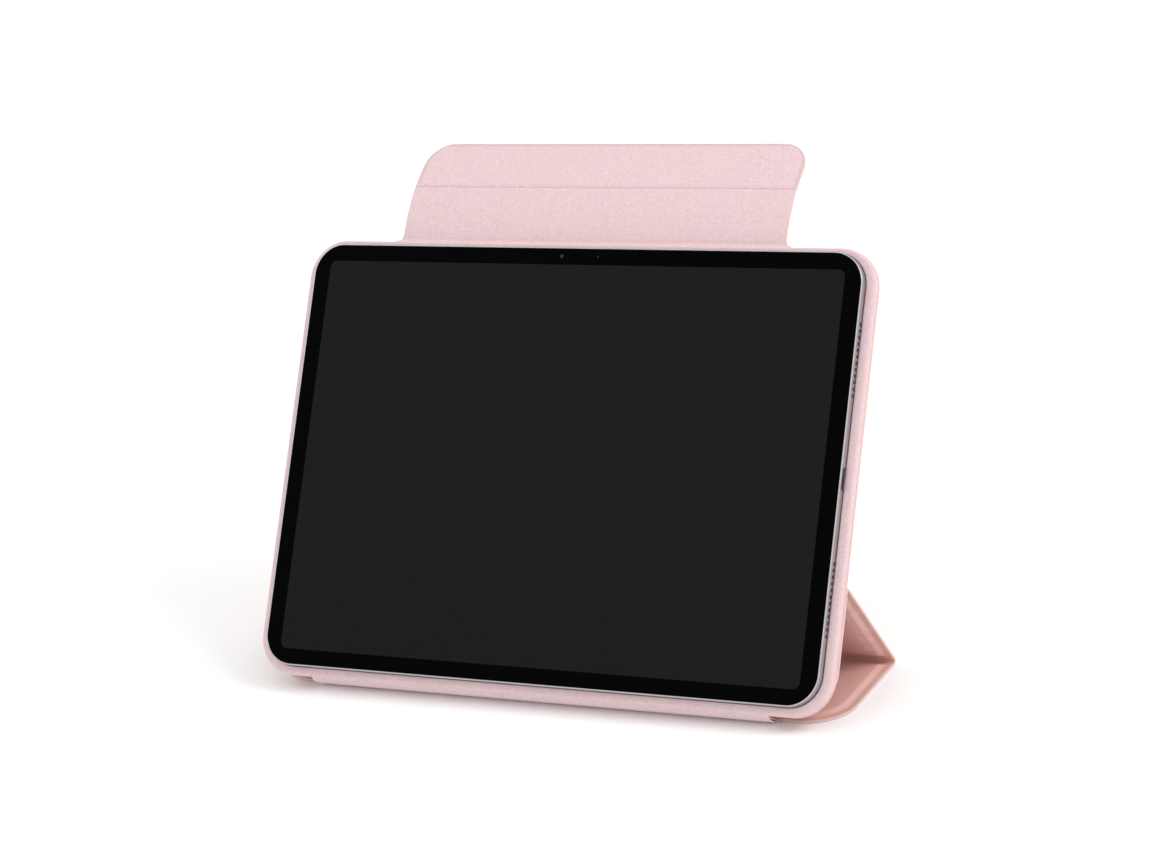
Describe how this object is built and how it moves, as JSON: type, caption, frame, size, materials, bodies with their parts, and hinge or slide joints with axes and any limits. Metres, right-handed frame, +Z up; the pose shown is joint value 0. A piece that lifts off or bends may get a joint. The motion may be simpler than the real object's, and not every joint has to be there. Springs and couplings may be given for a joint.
{
  "type": "tablet computer in a folding stand case",
  "caption": "Slim tablet computer held at an angle by a folding magnetic case with a triangular stand and a top closing flap.",
  "frame": {"origin": "on the table under the middle of the object's box", "axes": "+X to the right of someone facing the screen, +Y away from them, +Z up"},
  "size_m": [0.2584, 0.138, 0.1926],
  "materials": {
    "housing_metal": "fine bead-blasted, silver grey anodised",
    "cover_glass": "toughened glass, black printed border, modelled as opaque gloss",
    "display": "unlit picture area, very dark grey",
    "sheet_steel": "plain pressed sheet",
    "lens_glass": "coated dark lens",
    "battery_film": "matt laminated pouch",
    "black_plastic": "moulded matt black",
    "circuit_board": "green solder mask",
    "flex_copper": "amber film over copper",
    "magnet": "nickel plated",
    "microfibre": "fine pink microfibre suede",
    "leather_skin": "smooth salmon pink synthetic leather",
    "case_board": "glass-fibre and card laminate",
    "rim_foam": "dense soft foam"
  },
  "bodies": {
    "back_panel": {"back_panel_lining": "microfibre", "back_panel_rim_core": "rim_foam", "back_panel_board": "case_board", "back_panel_magnet_left": "magnet", "back_panel_magnet_right": "magnet", "back_panel_skin": "leather_skin"},
    "tablet": {"rear_housing": "housing_metal", "cover_glass": "cover_glass", "display_panel": "display", "display_backplate": "sheet_steel", "front_camera": "lens_glass", "light_sensor": "lens_glass", "battery_cell_left": "battery_film", "battery_cell_right": "battery_film", "speaker_lower_left": "black_plastic", "speaker_upper_left": "black_plastic", "speaker_lower_right": "black_plastic", "speaker_upper_right": "black_plastic", "logic_board": "circuit_board", "board_shield": "sheet_steel", "board_screw_1": "sheet_steel", "board_screw_2": "sheet_steel", "board_screw_3": "sheet_steel", "board_screw_4": "sheet_steel", "display_flex_cable": "flex_copper", "tablet_magnet_left": "magnet", "tablet_magnet_right": "magnet", "usb_c_shell": "sheet_steel", "usb_c_tongue": "black_plastic", "volume_switch_board": "circuit_board", "power_switch_board": "circuit_board", "rear_camera_plate": "housing_metal", "rear_camera_lens": "lens_glass", "rear_camera_module": "black_plastic", "flash_window": "lens_glass"},
    "power_button": {"power_button": "housing_metal"},
    "volume_up_button": {"volume_up_button": "housing_metal"},
    "volume_down_button": {"volume_down_button": "housing_metal"},
    "spine": {"spine_lining": "microfibre", "spine_skin": "leather_skin"},
    "stand_panel_1": {"stand_1_lining": "microfibre", "stand_1_board": "case_board", "stand_1_skin": "leather_skin"},
    "stand_panel_2": {"stand_2_lining": "microfibre", "stand_2_board": "case_board", "stand_2_skin": "leather_skin", "rear_fold": "leather_skin"},
    "stand_panel_3": {"stand_3_lining": "microfibre", "stand_3_board": "case_board", "stand_3_magnet_left": "magnet", "stand_3_magnet_right": "magnet", "stand_3_skin": "leather_skin", "apex_fold": "leather_skin"},
    "flap_strip": {"flap_strip_lining": "microfibre", "flap_strip_skin": "leather_skin"},
    "flap_tab": {"flap_tab_lining": "microfibre", "flap_tab_board": "case_board", "flap_tab_magnet": "magnet", "flap_tab_skin": "leather_skin"}
  },
  "joints": [
    {"name": "tablet_lift_off", "type": "slide", "parent": "back_panel", "child": "tablet", "axis": [0, 0.8462, -0.5329], "range_m": [-0.03, 0]},
    {"name": "power_press", "type": "slide", "parent": "tablet", "child": "power_button", "axis": [1, 0, 0], "range_m": [0, 0.00025], "stiffness_N_per_m": 900},
    {"name": "volume_up_press", "type": "slide", "parent": "tablet", "child": "volume_up_button", "axis": [0, -0.5329, -0.8462], "range_m": [0, 0.00025], "stiffness_N_per_m": 900},
    {"name": "volume_down_press", "type": "slide", "parent": "tablet", "child": "volume_down_button", "axis": [0, -0.5329, -0.8462], "range_m": [0, 0.00025], "stiffness_N_per_m": 900},
    {"name": "stand_swing", "type": "hinge", "parent": "back_panel", "child": "spine", "pos_m": [0, -0.06582, 0.00479], "axis": [-1, 0, 0], "range_deg": [0, 168]},
    {"name": "spine_fold", "type": "hinge", "parent": "spine", "child": "stand_panel_1", "pos_m": [0, -0.05945, 0.00055], "axis": [-1, 0, 0], "range_deg": [0, 116]},
    {"name": "rear_crease", "type": "hinge", "parent": "stand_panel_1", "child": "stand_panel_2", "pos_m": [0, -0.00105, 0.00055], "axis": [-1, 0, 0], "range_deg": [0, 60]},
    {"name": "apex_crease", "type": "hinge", "parent": "stand_panel_2", "child": "stand_panel_3", "pos_m": [0, -0.03654, 0.04781], "axis": [1, 0, 0], "range_deg": [0, 37]},
    {"name": "flap_fold", "type": "hinge", "parent": "back_panel", "child": "flap_strip", "pos_m": [0, 0.03282, 0.16143], "axis": [1, 0, 0], "range_deg": [-30, 90]},
    {"name": "flap_crease", "type": "hinge", "parent": "flap_strip", "child": "flap_tab", "pos_m": [0, 0.04898, 0.17956], "axis": [1, 0, 0], "range_deg": [-30, 90]}
  ],
  "couplings": [
    {"joint": "spine_fold", "follows": "stand_swing", "ratio": 0.6854},
    {"joint": "apex_crease", "follows": "rear_crease", "ratio": 0.6}
  ]
}
